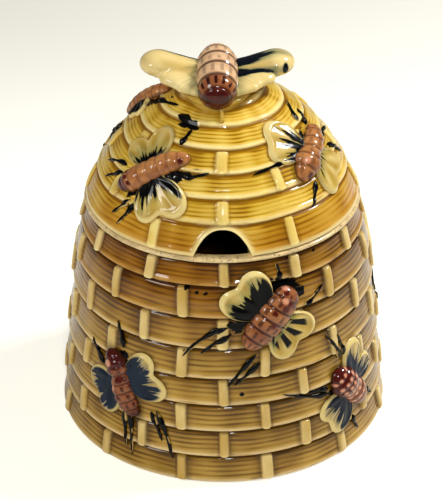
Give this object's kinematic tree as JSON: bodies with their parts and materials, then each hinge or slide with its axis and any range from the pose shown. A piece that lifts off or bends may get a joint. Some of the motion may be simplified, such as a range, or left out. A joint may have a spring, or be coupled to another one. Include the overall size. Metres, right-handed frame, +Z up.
{
  "type": "honey pot with loose domed lid",
  "caption": "Beehive-shaped glazed earthenware honey pot with basket-row relief, a loose domed lid with a spoon notch, a bee-shaped knob and relief bees.",
  "frame": {"origin": "centre of the circle that the foot stands on, at table height", "axes": "+Z up along the axis of the pot; -Y towards the spoon notch and the viewer; +X to the viewer's right"},
  "size_m": [0.1007, 0.1009, 0.117],
  "materials": {
    "pot_glaze": "glossy clear glaze over amber-brown stain that pools darker in the grooves, with pale buff clay at the rim",
    "lid_glaze": "glossy clear glaze over mustard-yellow stain that pools amber in the grooves",
    "stitch_glaze": "glossy clear glaze over straw-yellow, thin on the raised stitches",
    "bee_glaze": "glossy clear glaze over hand-painted red-brown and tan rings with a maroon tail",
    "wing_glaze": "glossy clear glaze over cream-yellow with brushed black strokes",
    "leg_glaze": "glossy clear glaze over hand-brushed blue-black"
  },
  "bodies": {
    "pot": {"pot_body": "pot_glaze", "pot_stitches": "stitch_glaze", "pot_left_bee_body": "bee_glaze", "pot_left_bee_wings": "wing_glaze", "pot_left_bee_legs": "leg_glaze", "pot_front_bee_body": "bee_glaze", "pot_front_bee_wings": "wing_glaze", "pot_front_bee_legs": "leg_glaze", "pot_right_bee_body": "bee_glaze", "pot_right_bee_wings": "wing_glaze", "pot_right_bee_legs": "leg_glaze", "pot_far_right_bee_body": "bee_glaze", "pot_far_right_bee_wings": "wing_glaze", "pot_far_right_bee_legs": "leg_glaze", "pot_back_bee_body": "bee_glaze", "pot_back_bee_wings": "wing_glaze", "pot_back_bee_legs": "leg_glaze", "pot_far_left_bee_body": "bee_glaze", "pot_far_left_bee_wings": "wing_glaze", "pot_far_left_bee_legs": "leg_glaze"},
    "lid": {"lid_shell": "lid_glaze", "lid_stitches": "stitch_glaze", "lid_left_bee_body": "bee_glaze", "lid_left_bee_wings": "wing_glaze", "lid_left_bee_legs": "leg_glaze", "lid_right_bee_body": "bee_glaze", "lid_right_bee_wings": "wing_glaze", "lid_right_bee_legs": "leg_glaze", "lid_far_left_bee_body": "bee_glaze", "lid_far_left_bee_wings": "wing_glaze", "lid_far_left_bee_legs": "leg_glaze", "lid_back_bee_body": "bee_glaze", "lid_back_bee_wings": "wing_glaze", "lid_back_bee_legs": "leg_glaze", "knob_pad": "wing_glaze", "knob_bee_body": "bee_glaze", "knob_wing_left": "wing_glaze", "knob_wing_right": "wing_glaze"}
  },
  "joints": [
    {"name": "lid_lift", "type": "slide", "parent": "pot", "child": "lid", "axis": [0, 0, 1], "range_m": [0, 0.06]}
  ]
}
